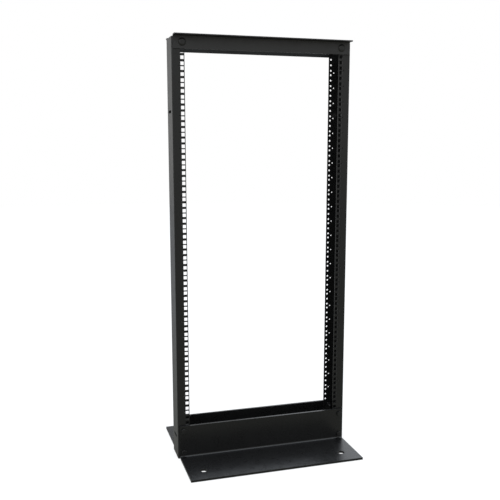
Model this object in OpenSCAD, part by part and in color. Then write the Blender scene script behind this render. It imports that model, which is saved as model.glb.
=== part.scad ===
// Two post open frame rack, 19 inch: two C-channel uprights stand between a pair of
// base angles and a pair of top angles, and everything is bolted through the flanges.
// Origin: centre of the footprint, at floor level. +X right, +Y to the rear, +Z up.

/* [Rack height] */
// Rack units of usable height between the base angles and the top angles
rack_units = 24; // [8:1:45]
// Height of one rack unit
unit_h = 44.45; // [40:0.05:60]

/* [Mounting holes] */
// Distance of the hole columns from the inner edges of the flanges
hole_margin = 6.55; // [6:0.05:9]
// Distance from the middle hole of a rack unit to its upper and lower holes
hole_step = 15.875; // [14:0.005:17]
// Side of the square holes in the front flanges
square_hole = 9.5; // [8:0.1:11]
// Diameter of the tapped holes in the rear flanges
round_hole_d = 5.5; // [4:0.1:8]
// Diameter of the small holes that mark the start of each rack unit
mark_hole_d = 3.8; // [2:0.1:5]
// Distance of those marks from the hole column, towards the web
mark_offset = 9.5; // [8:0.1:11]

/* [Uprights] */
// Clear width between the flanges of the two uprights
opening_w = 452; // [430:0.5:600]
// Width of each flange
flange_w = 35.3; // [32:0.1:60]
// Depth of the channel from front face to rear face
post_depth = 76.2; // [60:0.1:160]
// Thickness of the upright's sheet
post_sheet = 2.7; // [2:0.1:4]
// Inside radius of the upright's bends
post_bend_r = 1.3; // [1:0.1:4]
// Distance from the top of the uprights down from the top of the rack
post_top_drop = 5.2; // [4.5:0.1:8]
// Length of the long slots in the webs
web_slot_l = 38; // [20:1:50]
// Height of the long slots in the webs
web_slot_h = 7.5; // [5:0.5:12]
// Height of the lower web slot above the floor
low_slot_z = 62; // [40:0.5:90]
// Distance of the upper web slot below the top of the rack
high_slot_drop = 204; // [120:1:250]

/* [Base angles] */
// Height of the base angles' upright legs
base_leg_h = 100.8; // [80:0.1:150]
// Gap between the top of the base angles and the first rack unit
base_gap = 0.8; // [0:0.1:5]
// Reach of the base angles beyond the uprights' faces
base_reach = 159.9; // [130:0.1:250]
// Thickness of the base angles
base_sheet = 6.35; // [4:0.05:8]
// Inside radius of the base angles' bend
base_bend_r = 5; // [3:0.5:8]
// Gap between each end of the base angles and the uprights' outer faces
base_inset = 5; // [0:0.5:8]
// Diameter of the floor anchor holes
anchor_d = 19.5; // [10:0.5:24]
// Distance of the anchor holes from the uprights' faces
anchor_reach = 108.3; // [90:0.1:115]
// Distance between the left and right anchor holes
anchor_span = 419.1; // [380:0.1:440]

/* [Top angles] */
// Height of the top angles' upright legs
top_leg_h = 37.8; // [34:0.1:60]
// Reach of the top angles' level legs from the uprights' faces
top_reach = 24; // [20:0.1:60]
// Thickness of the top angles
top_sheet = 3.2; // [2:0.1:4]
// Inside radius of the top angles' bend
top_bend_r = 2.5; // [1:0.5:4]
// Gap between each end of the top angles and the uprights' outer faces
top_inset = 3.4; // [0:0.1:6]

/* [Frame bolts] */
// Clearance hole of the frame bolts
bolt_hole_d = 10; // [8:0.5:11]
// Distance of the base bolts from the uprights' outer faces
bolt_inset = 16; // [14:0.5:20]
// Height of the lower base bolts above the floor
low_bolt_z = 20.5; // [19:0.5:30]
// Distance of the upper base bolts below the top of the base angles
high_bolt_drop = 15; // [12:0.5:30]
// Height of the top bolts above the lower edges of the top angles
top_bolt_rise = 18; // [14:0.5:20]

/* [Hidden] */

round_steps = 48;
bend_steps = 96;
through = 1;

half_width = opening_w / 2 + flange_w;
face_y = post_depth / 2;
column_x = opening_w / 2 + hole_margin;
bolt_x = half_width - bolt_inset;
units_base = base_leg_h + base_gap;
units_top = units_base + rack_units * unit_h;
rack_h = units_top + top_leg_h;
post_h = rack_h - post_top_drop;
post_outer_r = post_bend_r + post_sheet;
base_bolt_zs = [low_bolt_z, base_leg_h - high_bolt_drop];
top_bolt_z = units_top + top_bolt_rise;

// Square corner at the origin rounded to radius r, cut from the quadrant x, y > 0
module corner_waste(r) {
    difference() {
        square(r);
        translate([r, r]) circle(r, $fn = bend_steps);
    }
}

// C section of the right upright: web at +X, flanges towards the middle of the rack
module channel_profile() {
    difference() {
        translate([opening_w / 2, -face_y]) square([flange_w, post_depth]);
        translate([opening_w / 2 - through, -face_y + post_sheet])
            difference() {
                square([flange_w - post_sheet + through, post_depth - 2 * post_sheet]);
                for (side = [0, 1])
                    translate([flange_w - post_sheet + through, side * (post_depth - 2 * post_sheet)])
                        mirror([1, 0]) mirror([0, side]) corner_waste(post_bend_r);
            }
        for (side = [0, 1])
            mirror([0, side]) translate([half_width, -face_y]) mirror([1, 0]) corner_waste(post_outer_r);
    }
}

// L section: level leg along +X from the origin, upright leg along +Y
module angle_profile(level, upright, sheet, bend_r) {
    difference() {
        square([level, upright]);
        translate([sheet, sheet]) difference() {
            square([level, upright]);
            corner_waste(bend_r);
        }
        corner_waste(bend_r + sheet);
    }
}

// Heights of every mounting hole, three to a rack unit
function hole_zs() = [
    for (unit = [0:rack_units - 1], step = [-1:1])
        units_base + (unit + 0.5) * unit_h + step * hole_step
];

// Heights of the marks between one rack unit and the next
function mark_zs() = [for (unit = [1:rack_units - 1]) units_base + unit * unit_h];

// Round hole from front to back through one flange; side is -1 front, 1 rear
module flange_hole(x, side, z, d) {
    translate([x, side * face_y, z]) rotate([90, 0, 0])
        cylinder(h = 4 * post_sheet, d = d, center = true, $fn = round_steps);
}

module upright() {
    difference() {
        linear_extrude(post_h) channel_profile();
        for (z = hole_zs()) {
            translate([column_x, -face_y, z]) cube([square_hole, 4 * post_sheet, square_hole], center = true);
            flange_hole(column_x, 1, z, round_hole_d);
        }
        for (z = mark_zs(), side = [-1, 1]) flange_hole(column_x + mark_offset, side, z, mark_hole_d);
        for (side = [-1, 1]) {
            for (z = base_bolt_zs) flange_hole(bolt_x, side, z, bolt_hole_d);
            flange_hole(column_x, side, top_bolt_z, bolt_hole_d);
        }
        for (z = [low_slot_z, rack_h - high_slot_drop]) web_slot(z);
    }
}

// Slot with round ends through the web, its length from front to back
module web_slot(z) {
    straight = web_slot_l - web_slot_h;
    translate([half_width - post_sheet - through, 0, z]) rotate([0, 90, 0])
        linear_extrude(post_sheet + 2 * through) {
            square([web_slot_h, straight], center = true);
            for (side = [-1, 1]) translate([0, side * straight / 2]) circle(d = web_slot_h, $fn = round_steps);
        }
}

// Angle section run along X, its back against the uprights' rear faces and its reach towards +Y
module cross_angle(reach, leg_h, sheet, bend_r, inset) {
    length = 2 * (half_width - inset);
    translate([-length / 2, face_y, 0]) rotate([90, 0, 90])
        linear_extrude(length) angle_profile(reach, leg_h, sheet, bend_r);
}

// Pair of bolt holes through the upright leg of an angle, at distance x from the middle and height z
module leg_bolt_holes(x, z, sheet) {
    for (side = [-1, 1])
        translate([side * x, face_y - through, z]) rotate([-90, 0, 0])
            cylinder(h = sheet + 2 * through, d = bolt_hole_d, $fn = round_steps);
}

module base_angle() {
    difference() {
        cross_angle(base_reach, base_leg_h, base_sheet, base_bend_r, base_inset);
        for (z = base_bolt_zs) leg_bolt_holes(bolt_x, z, base_sheet);
        for (side = [-1, 1])
            translate([side * anchor_span / 2, face_y + anchor_reach, -through])
                cylinder(h = base_sheet + 2 * through, d = anchor_d, $fn = round_steps);
    }
}

module top_angle() {
    difference() {
        translate([0, 0, rack_h]) mirror([0, 0, 1])
            cross_angle(top_reach, top_leg_h, top_sheet, top_bend_r, top_inset);
        leg_bolt_holes(column_x, top_bolt_z, top_sheet);
    }
}

module left_upright() color("dimgray") mirror([1, 0, 0]) upright();
module right_upright() color("dimgray") upright();
module front_base_angle() color("darkslategray") mirror([0, 1, 0]) base_angle();
module rear_base_angle() color("darkslategray") base_angle();
module front_top_angle() color("darkslategray") mirror([0, 1, 0]) top_angle();
module rear_top_angle() color("darkslategray") top_angle();

left_upright();
right_upright();
front_base_angle();
rear_base_angle();
front_top_angle();
rear_top_angle();
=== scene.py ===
# Two post open frame rack, dressed around its CAD solids: powder coat on the folded steel,
# the bolts that hold the frame together, and a plain studio round it. Lengths are in metres.
import bpy
import bmesh
from math import cos, pi, radians, sin, tau
from mathutils import Matrix, Vector


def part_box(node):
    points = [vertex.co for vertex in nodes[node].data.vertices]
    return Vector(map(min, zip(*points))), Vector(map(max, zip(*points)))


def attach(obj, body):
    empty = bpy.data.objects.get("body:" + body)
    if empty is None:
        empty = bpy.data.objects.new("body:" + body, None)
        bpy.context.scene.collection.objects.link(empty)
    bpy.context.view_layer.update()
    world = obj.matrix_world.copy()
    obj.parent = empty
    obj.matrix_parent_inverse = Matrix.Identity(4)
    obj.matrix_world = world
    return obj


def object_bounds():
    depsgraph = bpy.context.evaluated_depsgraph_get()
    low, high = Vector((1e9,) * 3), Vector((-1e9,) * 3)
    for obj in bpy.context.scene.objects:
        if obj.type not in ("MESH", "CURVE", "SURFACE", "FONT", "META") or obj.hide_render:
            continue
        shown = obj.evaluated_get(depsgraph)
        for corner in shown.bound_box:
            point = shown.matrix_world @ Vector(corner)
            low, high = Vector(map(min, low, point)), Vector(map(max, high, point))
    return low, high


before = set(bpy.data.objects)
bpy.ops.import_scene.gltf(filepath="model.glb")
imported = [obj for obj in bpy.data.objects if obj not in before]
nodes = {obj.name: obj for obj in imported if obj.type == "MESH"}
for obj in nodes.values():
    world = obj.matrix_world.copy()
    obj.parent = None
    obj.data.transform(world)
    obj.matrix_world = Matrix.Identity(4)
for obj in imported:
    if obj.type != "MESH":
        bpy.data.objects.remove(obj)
cad_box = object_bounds()

# ---- Viewpoint --------------------------------------------------------------------------
# The rack is seen from its left front corner, from a little below its own height and looking
# slightly down. The lens is a normal one, and a small shift frames the rack.
eye = (-0.6236, -2.0071, 0.9145)
turn_right, look_down = radians(16.614), radians(9.058)
viewer = bpy.data.cameras.new("viewer")
viewer.sensor_width = 36
viewer.lens = 51.634
viewer.shift_x, viewer.shift_y = -0.0035, 0.0166
viewer_object = bpy.data.objects.new("viewer", viewer)
viewer_object.location = eye
viewer_object.rotation_euler = (pi / 2 - look_down, 0, -turn_right)
bpy.context.scene.collection.objects.link(viewer_object)
bpy.context.scene.camera = viewer_object
bpy.context.scene.view_settings.view_transform = "Standard"

# ---- Uprights ---------------------------------------------------------------------------
# Two C channels rolled from 2.7 mm steel sheet, punched with the rows of holes, then sprayed
# with black powder and baked. The coat has a fine grain, and is thin and rougher on edges.
coat_colour = (0.0045, 0.0045, 0.0046)
coat_thin_colour = (0.013, 0.013, 0.013, 1)
coat_cloudiness = 0.14
edge_roughness = 0.2


class Finish:
    """The nodes of one new material or of the room, with short calls to add and join them."""

    # Places of the colour sockets on a Mix node, whose sockets share their names
    colour_a, colour_b, colour_mixed = 6, 7, 2

    def __init__(self, owner):
        owner.use_nodes = True
        self.owner = owner
        self.tree = owner.node_tree
        self.surface = self.tree.nodes.get("Principled BSDF")

    def add(self, kind, **settings):
        node = self.tree.nodes.new("ShaderNode" + kind)
        for key, value in settings.items():
            setattr(node, key, value)
        return node

    def feed(self, socket, value):
        """Sets a socket to a number or colour, or joins another node's output to it."""
        if isinstance(value, bpy.types.NodeSocket):
            self.tree.links.new(value, socket)
        else:
            socket.default_value = value

    def noise(self, place, scale, detail):
        """Noise of about 1 / scale metres to a lump, from 0 to 1."""
        node = self.add("TexNoise")
        self.feed(node.inputs["Vector"], place)
        self.feed(node.inputs["Scale"], scale)
        self.feed(node.inputs["Detail"], detail)
        return node.outputs["Fac"]

    def ramp(self, value, low, high, to_low, to_high):
        """Turns the stretch from low to high into the one from to_low to to_high."""
        node = self.add("MapRange")
        for name, number in zip(("Value", "From Min", "From Max", "To Min", "To Max"),
                                (value, low, high, to_low, to_high)):
            self.feed(node.inputs[name], number)
        return node.outputs["Result"]

    def combine(self, operation, a, b):
        node = self.add("Math", operation=operation)
        self.feed(node.inputs[0], a)
        self.feed(node.inputs[1], b)
        return node.outputs[0]

    def mix(self, share, a, b):
        """One colour shading into another."""
        node = self.add("Mix", data_type="RGBA")
        self.feed(node.inputs["Factor"], share)
        self.feed(node.inputs[self.colour_a], a)
        self.feed(node.inputs[self.colour_b], b)
        return node.outputs[self.colour_mixed]

    def blend(self, share, a, b):
        """One surface or background showing through another."""
        node = self.add("MixShader")
        self.feed(node.inputs["Fac"], share)
        self.feed(node.inputs[1], a)
        self.feed(node.inputs[2], b)
        return node.outputs["Shader"]

    def eased_edges(self, radius, samples):
        """Normals that run round every edge as if it were rounded to that radius."""
        node = self.add("Bevel", samples=samples)
        self.feed(node.inputs["Radius"], radius)
        return node.outputs["Normal"]

    def relief(self, height, depth, strength, normal):
        """Raises the surface by a pattern, on top of the given normals."""
        node = self.add("Bump")
        self.feed(node.inputs["Strength"], strength)
        self.feed(node.inputs["Distance"], depth)
        self.feed(node.inputs["Height"], height)
        self.feed(node.inputs["Normal"], normal)
        self.feed(self.surface.inputs["Normal"], node.outputs["Normal"])

    def shown_share(self, to_camera, to_gloss):
        """How much of the white background shows: one share for what the camera sees, straight
        or through glass, and one for what gloss reflects."""
        ray = self.add("LightPath")
        seen = self.combine("MAXIMUM", ray.outputs["Is Camera Ray"],
                            ray.outputs["Is Transmission Ray"])
        return self.combine("ADD", self.combine("MULTIPLY", seen, to_camera),
                            self.combine("MULTIPLY", ray.outputs["Is Glossy Ray"], to_gloss))


def shaded(colour, share):
    """The colour at that share of its brightness, with an alpha of 1."""
    return (*(part * share for part in colour), 1)


def powder_coat(name, roughness, shine, edge_radius, scuffs):
    """Black powder coat over steel whose edges are eased to edge_radius."""
    coat = Finish(bpy.data.materials.new(name))
    place = coat.add("TexCoord").outputs["Object"]
    grain = coat.noise(place, scale=1400, detail=3)
    orange_peel = coat.noise(place, scale=420, detail=2)
    patch = coat.noise(place, scale=38, detail=5)
    cloud = coat.noise(place, scale=9, detail=4)

    # The edges are where the eased normals turn away from the flat ones.
    eased = coat.eased_edges(edge_radius, samples=6)
    turn = coat.add("VectorMath", operation="DOT_PRODUCT")
    coat.feed(turn.inputs[0], eased)
    coat.feed(turn.inputs[1], coat.add("NewGeometry").outputs["Normal"])
    edge = coat.ramp(turn.outputs["Value"], 0.999, 0.86, 0, 1)
    worn = coat.combine("MULTIPLY", edge, coat.ramp(patch, 0.42, 0.62, 0.15, scuffs))

    tone = coat.mix(coat.ramp(cloud, 0.3, 0.7, 0, 1), shaded(coat_colour, 1 - coat_cloudiness),
                    shaded(coat_colour, 1 + coat_cloudiness))
    speck = coat.mix(coat.ramp(grain, 0.45, 0.75, 0, 0.4), tone, coat_thin_colour)
    coat.feed(coat.surface.inputs["Base Color"], coat.mix(worn, speck, coat_thin_colour))

    dullness = coat.combine("ADD", coat.ramp(patch, 0.3, 0.7, roughness - 0.02, roughness + 0.03),
                            coat.ramp(grain, 0.3, 0.7, -0.02, 0.03))
    coat.feed(coat.surface.inputs["Roughness"],
              coat.combine("ADD", dullness, coat.combine("MULTIPLY", edge, edge_roughness)))
    coat.feed(coat.surface.inputs["IOR"], 1.5)
    coat.feed(coat.surface.inputs["Specular IOR Level"], shine)

    lumps = coat.combine("ADD", orange_peel, coat.combine("MULTIPLY", grain, 0.4))
    coat.relief(lumps, depth=0.0003, strength=0.08, normal=eased)
    return coat.owner


def finish_node(name, material):
    """Gives a CAD solid its finish in place of the plain one."""
    node = nodes[name]
    if not node.material_slots:
        node.data.materials.append(None)
    for place in node.material_slots:
        place.material = material


upright_coat = powder_coat("upright_powder_coat", roughness=0.35, shine=0.5,
                           edge_radius=0.0007, scuffs=0.7)
for name in ("left_upright", "right_upright"):
    finish_node(name, upright_coat)

# ---- Base angles ------------------------------------------------------------------------
# Two lengths of 6.35 mm steel folded to an L, which stand on the floor before and behind the
# uprights. Their coat is the same powder, smoother, and rubbed along the edges by handling.
base_sheet = 0.00635
base_coat = powder_coat("base_angle_powder_coat", roughness=0.28, shine=0.5,
                        edge_radius=0.0006, scuffs=0.9)
for name in ("front_base_angle", "rear_base_angle"):
    finish_node(name, base_coat)

# ---- Top angles -------------------------------------------------------------------------
# Two lighter angles of 3.2 mm steel with their level legs turned outwards along the top.
# They tie the uprights together and carry a cable ladder where one is fitted.
top_sheet = 0.0032
top_coat = powder_coat("top_angle_powder_coat", roughness=0.43, shine=0.66,
                       edge_radius=0.0010, scuffs=0.2)
for name in ("front_top_angle", "rear_top_angle"):
    finish_node(name, top_coat)

# ---- Base bolts -------------------------------------------------------------------------
# Eight 3/8 inch hex bolts pass through the base angles and the uprights' flanges, two at
# each corner, their heads straight on the angle and a washer and nut inside the channel.
post_sheet = 0.0027
bolt_inset, low_bolt_z, high_bolt_drop = 0.016, 0.0205, 0.015
bolt_d, bolt_pitch, thread_depth = 0.0095, 0.0016, 0.0006
first_ridge_z, tip_bevel = 0.0004, 0.0008
head_width, head_height = 0.0143, 0.0055
corner_slope, corner_share, corner_cuts = radians(30), 0.96, 36
nut_height, nut_face, nut_bevel, nut_bevel_depth = 0.0083, 0.0016, 0.0005, 0.0004
washer_d, washer_sheet, washer_ease, washer_play = 0.0190, 0.0017, 0.0003, 0.0004
shank_gap = 0.0004
sharp_angle = radians(25)
oxide_dark, oxide_pale = (0.005, 0.005, 0.005, 1), (0.010, 0.010, 0.010, 1)


def lathe(outline, segments):
    """Spins an outline of (radius, height) points round the Z axis into a closed solid."""
    mesh = bmesh.new()
    corners = [mesh.verts.new((radius, 0, height)) for radius, height in outline]
    for a, b in zip(corners, corners[1:] + corners[:1]):
        mesh.edges.new((a, b))
    bmesh.ops.spin(mesh, geom=mesh.verts[:] + mesh.edges[:], axis=(0, 0, 1), cent=(0, 0, 0),
                   angle=tau, steps=segments, use_merge=True)
    bmesh.ops.remove_doubles(mesh, verts=mesh.verts, dist=1e-7)
    bmesh.ops.dissolve_degenerate(mesh, edges=mesh.edges, dist=1e-7)
    bmesh.ops.delete(mesh, geom=[e for e in mesh.edges if not e.link_faces], context="EDGES")
    bmesh.ops.recalc_face_normals(mesh, faces=mesh.faces)
    for face in mesh.faces:
        face.smooth = True
    for edge in mesh.edges:
        edge.smooth = edge.calc_face_angle(0) < sharp_angle
    return mesh


def flat_washer():
    """Washer with its edges eased, apart from the lower edge of its bore."""
    inner, outer, ease = bolt_d / 2 + washer_play, washer_d / 2, washer_ease
    return lathe([(inner, 0), (outer - ease, 0), (outer, ease), (outer, washer_sheet - ease),
                  (outer - ease, washer_sheet), (inner + ease, washer_sheet),
                  (inner, washer_sheet - ease)], segments=48)


def hexagon(width, height, both_ends):
    """Hexagon bar of that width across its flats, its ends turned down at the corners."""
    mesh = bmesh.new()
    bmesh.ops.create_circle(mesh, cap_ends=True, segments=6, radius=width / 2 / cos(pi / 6))
    grown = bmesh.ops.extrude_face_region(mesh, geom=mesh.faces[:])
    bmesh.ops.translate(mesh, vec=(0, 0, height),
                        verts=[v for v in grown["geom"] if isinstance(v, bmesh.types.BMVert)])
    turned_r, out, up = width / 2 * corner_share, sin(corner_slope), cos(corner_slope)
    for end in (1, -1) if both_ends else (1,):
        z = height if end > 0 else 0
        for step in range(corner_cuts):
            a = tau * step / corner_cuts
            cut = bmesh.ops.bisect_plane(
                mesh, geom=mesh.verts[:] + mesh.edges[:] + mesh.faces[:], dist=1e-7,
                plane_co=(turned_r * cos(a), turned_r * sin(a), z),
                plane_no=(out * cos(a), out * sin(a), end * up), clear_outer=True)
            rim = [e for e in cut["geom_cut"] if isinstance(e, bmesh.types.BMEdge)]
            if rim:
                bmesh.ops.holes_fill(mesh, edges=rim, sides=0)
    bmesh.ops.remove_doubles(mesh, verts=mesh.verts, dist=1e-6)
    bmesh.ops.recalc_face_normals(mesh, faces=mesh.faces)
    return mesh


def chamfered_nut():
    """Hexagon nut with its corners turned down and both ends bevelled in to the thread."""
    nut = hexagon(head_width, nut_height, both_ends=True)
    for z in (0, nut_height):
        level = [f for f in nut.faces if abs(f.calc_center_median().z - z) < 1e-5]
        end = max(level, key=lambda f: f.calc_area())
        bmesh.ops.inset_individual(nut, faces=[end], thickness=nut_face)
        bmesh.ops.inset_individual(nut, faces=[end], thickness=nut_bevel,
                                   depth=-nut_bevel_depth)
    return nut


def threaded_end(length):
    """Shank with its thread showing as ridges and a bevelled tip."""
    root, crest = bolt_d / 2 - thread_depth, bolt_d / 2
    outline = [(0, 0), (crest, 0)]
    z = first_ridge_z
    while z + bolt_pitch < length - 2 * thread_depth:
        outline += [(crest, z), (root, z + bolt_pitch * 0.45), (crest, z + bolt_pitch * 0.9)]
        z += bolt_pitch
    outline += [(root, length - thread_depth), (root - tip_bevel, length), (0, length)]
    return lathe(outline, segments=32)


def place_parts(name, parts, spots, material):
    """Joins copies of the parts at every spot (x, y, z, way) into one piece; way is the
    direction along Y in which the parts' own Z axis points."""
    joined = bmesh.new()
    for x, y, z, way in spots:
        stand = Matrix.Translation((x, y, z)) @ Matrix.Rotation(-way * pi / 2, 4, "X")
        for part, lift in parts:
            copy = bpy.data.meshes.new("copy")
            part.to_mesh(copy)
            copy.transform(stand @ Matrix.Translation((0, 0, lift)))
            joined.from_mesh(copy)
            bpy.data.meshes.remove(copy)
    mesh = bpy.data.meshes.new(name)
    joined.to_mesh(mesh)
    joined.free()
    mesh.materials.append(material)
    piece = bpy.data.objects.new(name, mesh)
    bpy.context.scene.collection.objects.link(piece)
    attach(piece, "root")


def black_oxide(name, roughness, shine):
    """Blackened steel with a fine mottle, glossier where it is darker."""
    steel = Finish(bpy.data.materials.new(name))
    mottle = steel.noise(steel.add("TexCoord").outputs["Object"], scale=700, detail=4)
    steel.feed(steel.surface.inputs["Base Color"],
               steel.mix(steel.ramp(mottle, 0.4, 0.7, 0, 1), oxide_dark, oxide_pale))
    steel.feed(steel.surface.inputs["Roughness"],
               steel.ramp(mottle, 0.3, 0.7, roughness, roughness + 0.1))
    steel.feed(steel.surface.inputs["Specular IOR Level"], shine)
    steel.relief(mottle, depth=0.0001, strength=0.15,
                 normal=steel.eased_edges(0.0003, samples=4))
    return steel.owner


def bolt_spots(xs, zs, sheet):
    """The places of the heads on the outer faces of an angle of that sheet, and of the nuts
    on the inner faces of the flanges."""
    heads, nuts = [], []
    for x in xs:
        for way in (-1, 1):
            for z in zs:
                heads.append((x, way * (flange_face + sheet), z, way))
                nuts.append((x, way * (flange_face - post_sheet), z, -way))
    return heads, nuts


bolt_black = black_oxide("bolt_black_oxide", roughness=0.27, shine=0.5)
hex_head = hexagon(head_width, head_height, both_ends=False)
shank_end = threaded_end(nut_height + 2 * washer_sheet)
nut_stack = [(flat_washer(), 0), (chamfered_nut(), washer_sheet), (shank_end, shank_gap)]

upright_low, upright_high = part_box("right_upright")
flange_face = upright_high.y
base_bolt_x = upright_high.x - bolt_inset
high_bolt_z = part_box("front_base_angle")[1].z - high_bolt_drop
head_spots, nut_spots = bolt_spots((-base_bolt_x, base_bolt_x), (low_bolt_z, high_bolt_z),
                                   base_sheet)
place_parts("base_bolt_heads", [(hex_head, 0)], head_spots, bolt_black)
place_parts("base_bolt_nuts", nut_stack, nut_spots, bolt_black)

# ---- Top bolts --------------------------------------------------------------------------
# Four 3/8 inch bolts with round heads hold the top angles, one at each corner in line with
# the hole columns. The heads are duller, flat in the middle, and fall to a thin rim. Their
# washers and nuts are inside the channels.
dome_radius, dome_height, dome_rim, dome_steps = 0.0107, 0.0040, 0.0006, 14
column_inset, top_bolt_rise = 0.00655, 0.018
dome = [(0, 0), (dome_radius, 0)]
for step in range(dome_steps, -1, -1):
    share = step / dome_steps
    dome.append((dome_radius * share, dome_rim + (dome_height - dome_rim) * (1 - share ** 5)))
round_head = lathe(dome, segments=48)
dull_black = black_oxide("dull_black_oxide", roughness=0.45, shine=0.6)

top_bolt_x = upright_low.x + column_inset
top_bolt_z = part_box("front_top_angle")[0].z + top_bolt_rise
head_spots, nut_spots = bolt_spots((-top_bolt_x, top_bolt_x), (top_bolt_z,), top_sheet)
place_parts("top_bolt_heads", [(round_head, 0)], head_spots, dull_black)
place_parts("top_bolt_nuts", nut_stack, nut_spots, bolt_black)

# ---- Floor ------------------------------------------------------------------------------
# A wide sheet of matt white paper under the rack. It shows nearly pure white, and keeps a
# faint shadow where the base meets it. To the rack it shows painted shade instead: a dark
# floor colour, darkest and yellowish in front, standing in for the dim side of the studio.
paper_radius, paper_gap = 9, 0.0002
paper_colour, paper_glow = (0.9, 0.9, 0.9, 1), 1.02
# Painted shade on the paper, seen only by the rack: dark and yellowish in front, lighter behind.
front_painted_shade, rear_painted_shade = (0.088, 0.086, 0.050, 1), (0.25, 0.25, 0.25, 1)
front_painted_shade_y, rear_painted_shade_y = -0.6, 2.2
gloss_share = 0.2

paper = Finish(bpy.data.materials.new("white_paper"))
spot = paper.add("SeparateXYZ")
paper.feed(spot.inputs["Vector"], paper.add("TexCoord").outputs["Object"])
# Painted shade: the paper's colour seen by the rack darkens from behind towards the front.
painted_floor_shade = paper.mix(paper.ramp(spot.outputs["Y"], front_painted_shade_y, rear_painted_shade_y, 0, 1), front_painted_shade, rear_painted_shade)
paper.feed(paper.surface.inputs["Base Color"],
           paper.mix(paper.shown_share(1, 0), painted_floor_shade, paper_colour))
paper.feed(paper.surface.inputs["Roughness"], 1.0)
paper.feed(paper.surface.inputs["Specular IOR Level"], 0.0)
glow = paper.add("Emission")
paper.feed(glow.inputs["Strength"], paper_glow)
paper.feed(paper.tree.nodes["Material Output"].inputs["Surface"],
           paper.blend(paper.shown_share(0.8, gloss_share), paper.surface.outputs["BSDF"],
                       glow.outputs["Emission"]))

sheet = bmesh.new()
bmesh.ops.create_circle(sheet, cap_ends=True, segments=96, radius=paper_radius)
floor_mesh = bpy.data.meshes.new("floor")
sheet.to_mesh(floor_mesh)
sheet.free()
floor_mesh.materials.append(paper.owner)
floor = bpy.data.objects.new("floor", floor_mesh)
floor.location.z = cad_box[0].z - paper_gap
bpy.context.scene.collection.objects.link(floor)

# ---- Studio light -----------------------------------------------------------------------
# A grey room with a bright cool ceiling stands round the rack, behind the white background.
# Its front wall is palest a little above the horizon, and its rear wall is dark under the
# ceiling. One soft lamp stands at the rear right, and one in front on the left.

# Each tone of a wall belongs to the sine of a height above the horizon.
front_tones = [(-0.15, 0.25), (0, 0.45), (0.05, 0.55), (0.12, 0.8), (0.25, 0.55), (0.4, 0.25),
               (0.55, 1.4), (0.75, 1.6), (1, 1.75)]
rear_tones = [(-0.15, 0.3), (0, 0.6), (0.12, 0.65), (0.25, 0.15), (0.4, 0.05), (0.5, 0.2),
              (0.6, 3.4), (0.75, 2.6), (1, 1.5)]
wall_tint, ceiling_tint, ceiling_sine = (1, 1, 0.98), (0.90, 0.97, 1.05), 0.5
lowest_sine, highest_sine = -0.5, 1.0

studio = bpy.data.worlds.new("studio")
bpy.context.scene.world = studio
room = Finish(studio)
walls = room.tree.nodes["Background"]
white = room.add("Background")
room.feed(white.inputs["Color"], (1, 1, 1, 1))


def wall(rise, tones):
    """The colour of one wall from the floor up to the ceiling."""
    shade = room.add("ValToRGB")
    stops = shade.color_ramp.elements
    while len(stops) < len(tones):
        stops.new(0.5)
    for stop, (sine, tone) in zip(stops, tones):
        tint = ceiling_tint if sine > ceiling_sine else wall_tint
        stop.position = (sine - lowest_sine) / (highest_sine - lowest_sine)
        stop.color = shaded(tint, tone)
    room.feed(shade.inputs["Fac"], rise)
    return shade.outputs["Color"]


way = room.add("SeparateXYZ")
room.feed(way.inputs["Vector"], room.add("TexCoord").outputs["Generated"])
rise = room.ramp(way.outputs["Z"], lowest_sine, highest_sine, 0, 1)
depth = room.ramp(way.outputs["Y"], -1, 1, 0, 1)
room.feed(walls.inputs["Color"], room.mix(depth, wall(rise, front_tones), wall(rise, rear_tones)))
room.feed(room.tree.nodes["World Output"].inputs["Surface"],
          room.blend(room.shown_share(1, gloss_share), walls.outputs["Background"],
                     white.outputs["Background"]))


def soft_lamp(name, place, aim, size, watts, tint):
    lamp = bpy.data.lights.new(name, "AREA")
    lamp.shape, lamp.size, lamp.size_y = "RECTANGLE", size[0], size[1]
    lamp.energy = watts
    lamp.color = tint
    holder = bpy.data.objects.new(name, lamp)
    holder.location = place
    holder.rotation_euler = (Vector(aim) - Vector(place)).to_track_quat("-Z", "Y").to_euler()
    bpy.context.scene.collection.objects.link(holder)


soft_lamp("rear_lamp", place=(1.5, 2.3, 1.3), aim=(0.24, -0.15, 0), size=(1.6, 1.2), watts=5.5,
          tint=(0.90, 0.94, 1))
soft_lamp("key_lamp", place=(-1.8, -2.4, 2.8), aim=(0, 0, 0.6), size=(1.2, 1.2), watts=13.5,
          tint=(1, 1, 1))
